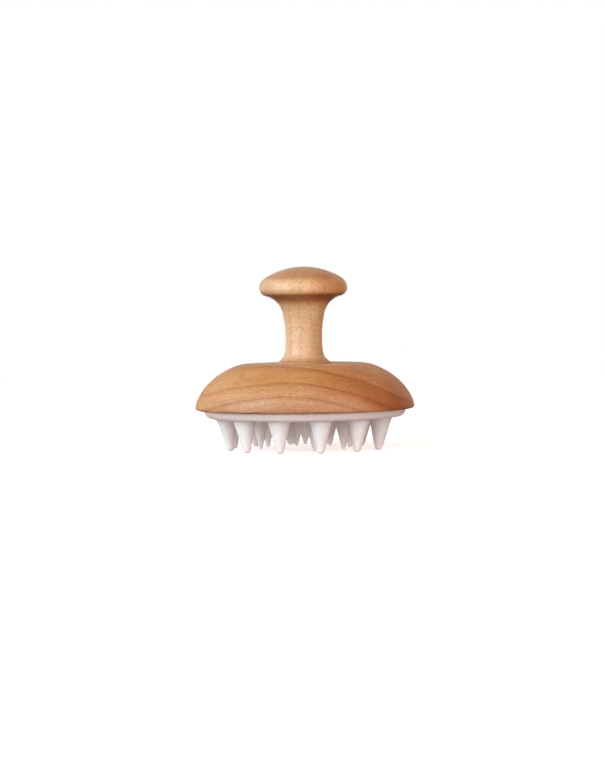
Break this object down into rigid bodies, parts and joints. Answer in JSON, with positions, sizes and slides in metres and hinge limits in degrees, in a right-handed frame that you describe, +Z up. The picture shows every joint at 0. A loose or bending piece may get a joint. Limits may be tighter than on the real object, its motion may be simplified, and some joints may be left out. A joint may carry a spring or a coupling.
{
  "type": "scalp massager brush",
  "caption": "Hand-held scalp massager: a turned wooden knob and neck on a wooden dome base, with a silicone pad of flexible conical teeth beneath.",
  "frame": {"origin": "on the axis, in the plane of the outer teeth's tips", "axes": "+Z up the axis towards the knob; a tooth of each ring lies on -Y"},
  "size_m": [0.082, 0.082, 0.0683],
  "materials": {
    "handle_wood": "satin lacquer, fine upright grain with small flecks",
    "base_wood": "satin lacquer, level grain with broad growth rings",
    "silicone": "matt white moulded silicone",
    "carrier_plastic": "moulded, fine satin texture",
    "steel": "zinc-plated"
  },
  "bodies": {
    "base": {"base_dome": "base_wood", "handle": "handle_wood", "handle_screw": "steel", "handle_washer": "steel", "pad_carrier": "carrier_plastic", "carrier_screws": "steel"},
    "pad": {"pad": "silicone"},
    "outer_tooth_01": {"outer_tooth_01": "silicone"},
    "outer_tooth_02": {"outer_tooth_02": "silicone"},
    "outer_tooth_03": {"outer_tooth_03": "silicone"},
    "outer_tooth_04": {"outer_tooth_04": "silicone"},
    "outer_tooth_05": {"outer_tooth_05": "silicone"},
    "outer_tooth_06": {"outer_tooth_06": "silicone"},
    "outer_tooth_07": {"outer_tooth_07": "silicone"},
    "outer_tooth_08": {"outer_tooth_08": "silicone"},
    "outer_tooth_09": {"outer_tooth_09": "silicone"},
    "outer_tooth_10": {"outer_tooth_10": "silicone"},
    "outer_tooth_11": {"outer_tooth_11": "silicone"},
    "outer_tooth_12": {"outer_tooth_12": "silicone"},
    "middle_tooth_1": {"middle_tooth_1": "silicone"},
    "middle_tooth_2": {"middle_tooth_2": "silicone"},
    "middle_tooth_3": {"middle_tooth_3": "silicone"},
    "middle_tooth_4": {"middle_tooth_4": "silicone"},
    "middle_tooth_5": {"middle_tooth_5": "silicone"},
    "middle_tooth_6": {"middle_tooth_6": "silicone"},
    "middle_tooth_7": {"middle_tooth_7": "silicone"},
    "middle_tooth_8": {"middle_tooth_8": "silicone"},
    "centre_tooth": {"centre_tooth": "silicone"}
  },
  "joints": [
    {"name": "base_pull_off", "type": "slide", "parent": "pad", "child": "base", "axis": [0, 0, 1], "range_m": [0, 0.012]},
    {"name": "outer_tooth_01_bend", "type": "hinge", "parent": "pad", "child": "outer_tooth_01", "pos_m": [0, -0.0295, 0.0121], "axis": [-1, 0, 0], "range_deg": [-8, 15], "stiffness_Nm_per_rad": 0.011},
    {"name": "outer_tooth_02_bend", "type": "hinge", "parent": "pad", "child": "outer_tooth_02", "pos_m": [0.01475, -0.02555, 0.0121], "axis": [-0.866, -0.5, 0], "range_deg": [-8, 15], "stiffness_Nm_per_rad": 0.011},
    {"name": "outer_tooth_03_bend", "type": "hinge", "parent": "pad", "child": "outer_tooth_03", "pos_m": [0.02555, -0.01475, 0.0121], "axis": [-0.5, -0.866, 0], "range_deg": [-8, 15], "stiffness_Nm_per_rad": 0.011},
    {"name": "outer_tooth_04_bend", "type": "hinge", "parent": "pad", "child": "outer_tooth_04", "pos_m": [0.0295, 0, 0.0121], "axis": [0, -1, 0], "range_deg": [-8, 15], "stiffness_Nm_per_rad": 0.011},
    {"name": "outer_tooth_05_bend", "type": "hinge", "parent": "pad", "child": "outer_tooth_05", "pos_m": [0.02555, 0.01475, 0.0121], "axis": [0.5, -0.866, 0], "range_deg": [-8, 15], "stiffness_Nm_per_rad": 0.011},
    {"name": "outer_tooth_06_bend", "type": "hinge", "parent": "pad", "child": "outer_tooth_06", "pos_m": [0.01475, 0.02555, 0.0121], "axis": [0.866, -0.5, 0], "range_deg": [-8, 15], "stiffness_Nm_per_rad": 0.011},
    {"name": "outer_tooth_07_bend", "type": "hinge", "parent": "pad", "child": "outer_tooth_07", "pos_m": [0, 0.0295, 0.0121], "axis": [1, 0, 0], "range_deg": [-8, 15], "stiffness_Nm_per_rad": 0.011},
    {"name": "outer_tooth_08_bend", "type": "hinge", "parent": "pad", "child": "outer_tooth_08", "pos_m": [-0.01475, 0.02555, 0.0121], "axis": [0.866, 0.5, 0], "range_deg": [-8, 15], "stiffness_Nm_per_rad": 0.011},
    {"name": "outer_tooth_09_bend", "type": "hinge", "parent": "pad", "child": "outer_tooth_09", "pos_m": [-0.02555, 0.01475, 0.0121], "axis": [0.5, 0.866, 0], "range_deg": [-8, 15], "stiffness_Nm_per_rad": 0.011},
    {"name": "outer_tooth_10_bend", "type": "hinge", "parent": "pad", "child": "outer_tooth_10", "pos_m": [-0.0295, 0, 0.0121], "axis": [0, 1, 0], "range_deg": [-8, 15], "stiffness_Nm_per_rad": 0.011},
    {"name": "outer_tooth_11_bend", "type": "hinge", "parent": "pad", "child": "outer_tooth_11", "pos_m": [-0.02555, -0.01475, 0.0121], "axis": [-0.5, 0.866, 0], "range_deg": [-8, 15], "stiffness_Nm_per_rad": 0.011},
    {"name": "outer_tooth_12_bend", "type": "hinge", "parent": "pad", "child": "outer_tooth_12", "pos_m": [-0.01475, -0.02555, 0.0121], "axis": [-0.866, 0.5, 0], "range_deg": [-8, 15], "stiffness_Nm_per_rad": 0.011},
    {"name": "middle_tooth_1_bend", "type": "hinge", "parent": "pad", "child": "middle_tooth_1", "pos_m": [0, -0.017, 0.0121], "axis": [-1, 0, 0], "range_deg": [-12, 12], "stiffness_Nm_per_rad": 0.006},
    {"name": "middle_tooth_2_bend", "type": "hinge", "parent": "pad", "child": "middle_tooth_2", "pos_m": [0.01202, -0.01202, 0.0121], "axis": [-0.7071, -0.7071, 0], "range_deg": [-12, 12], "stiffness_Nm_per_rad": 0.006},
    {"name": "middle_tooth_3_bend", "type": "hinge", "parent": "pad", "child": "middle_tooth_3", "pos_m": [0.017, 0, 0.0121], "axis": [0, -1, 0], "range_deg": [-12, 12], "stiffness_Nm_per_rad": 0.006},
    {"name": "middle_tooth_4_bend", "type": "hinge", "parent": "pad", "child": "middle_tooth_4", "pos_m": [0.01202, 0.01202, 0.0121], "axis": [0.7071, -0.7071, 0], "range_deg": [-12, 12], "stiffness_Nm_per_rad": 0.006},
    {"name": "middle_tooth_5_bend", "type": "hinge", "parent": "pad", "child": "middle_tooth_5", "pos_m": [0, 0.017, 0.0121], "axis": [1, 0, 0], "range_deg": [-12, 12], "stiffness_Nm_per_rad": 0.006},
    {"name": "middle_tooth_6_bend", "type": "hinge", "parent": "pad", "child": "middle_tooth_6", "pos_m": [-0.01202, 0.01202, 0.0121], "axis": [0.7071, 0.7071, 0], "range_deg": [-12, 12], "stiffness_Nm_per_rad": 0.006},
    {"name": "middle_tooth_7_bend", "type": "hinge", "parent": "pad", "child": "middle_tooth_7", "pos_m": [-0.017, 0, 0.0121], "axis": [0, 1, 0], "range_deg": [-12, 12], "stiffness_Nm_per_rad": 0.006},
    {"name": "middle_tooth_8_bend", "type": "hinge", "parent": "pad", "child": "middle_tooth_8", "pos_m": [-0.01202, -0.01202, 0.0121], "axis": [-0.7071, 0.7071, 0], "range_deg": [-12, 12], "stiffness_Nm_per_rad": 0.006},
    {"name": "centre_tooth_bend", "type": "hinge", "parent": "pad", "child": "centre_tooth", "pos_m": [0, 0, 0.0121], "axis": [-1, 0, 0], "range_deg": [-12, 12], "stiffness_Nm_per_rad": 0.006}
  ]
}
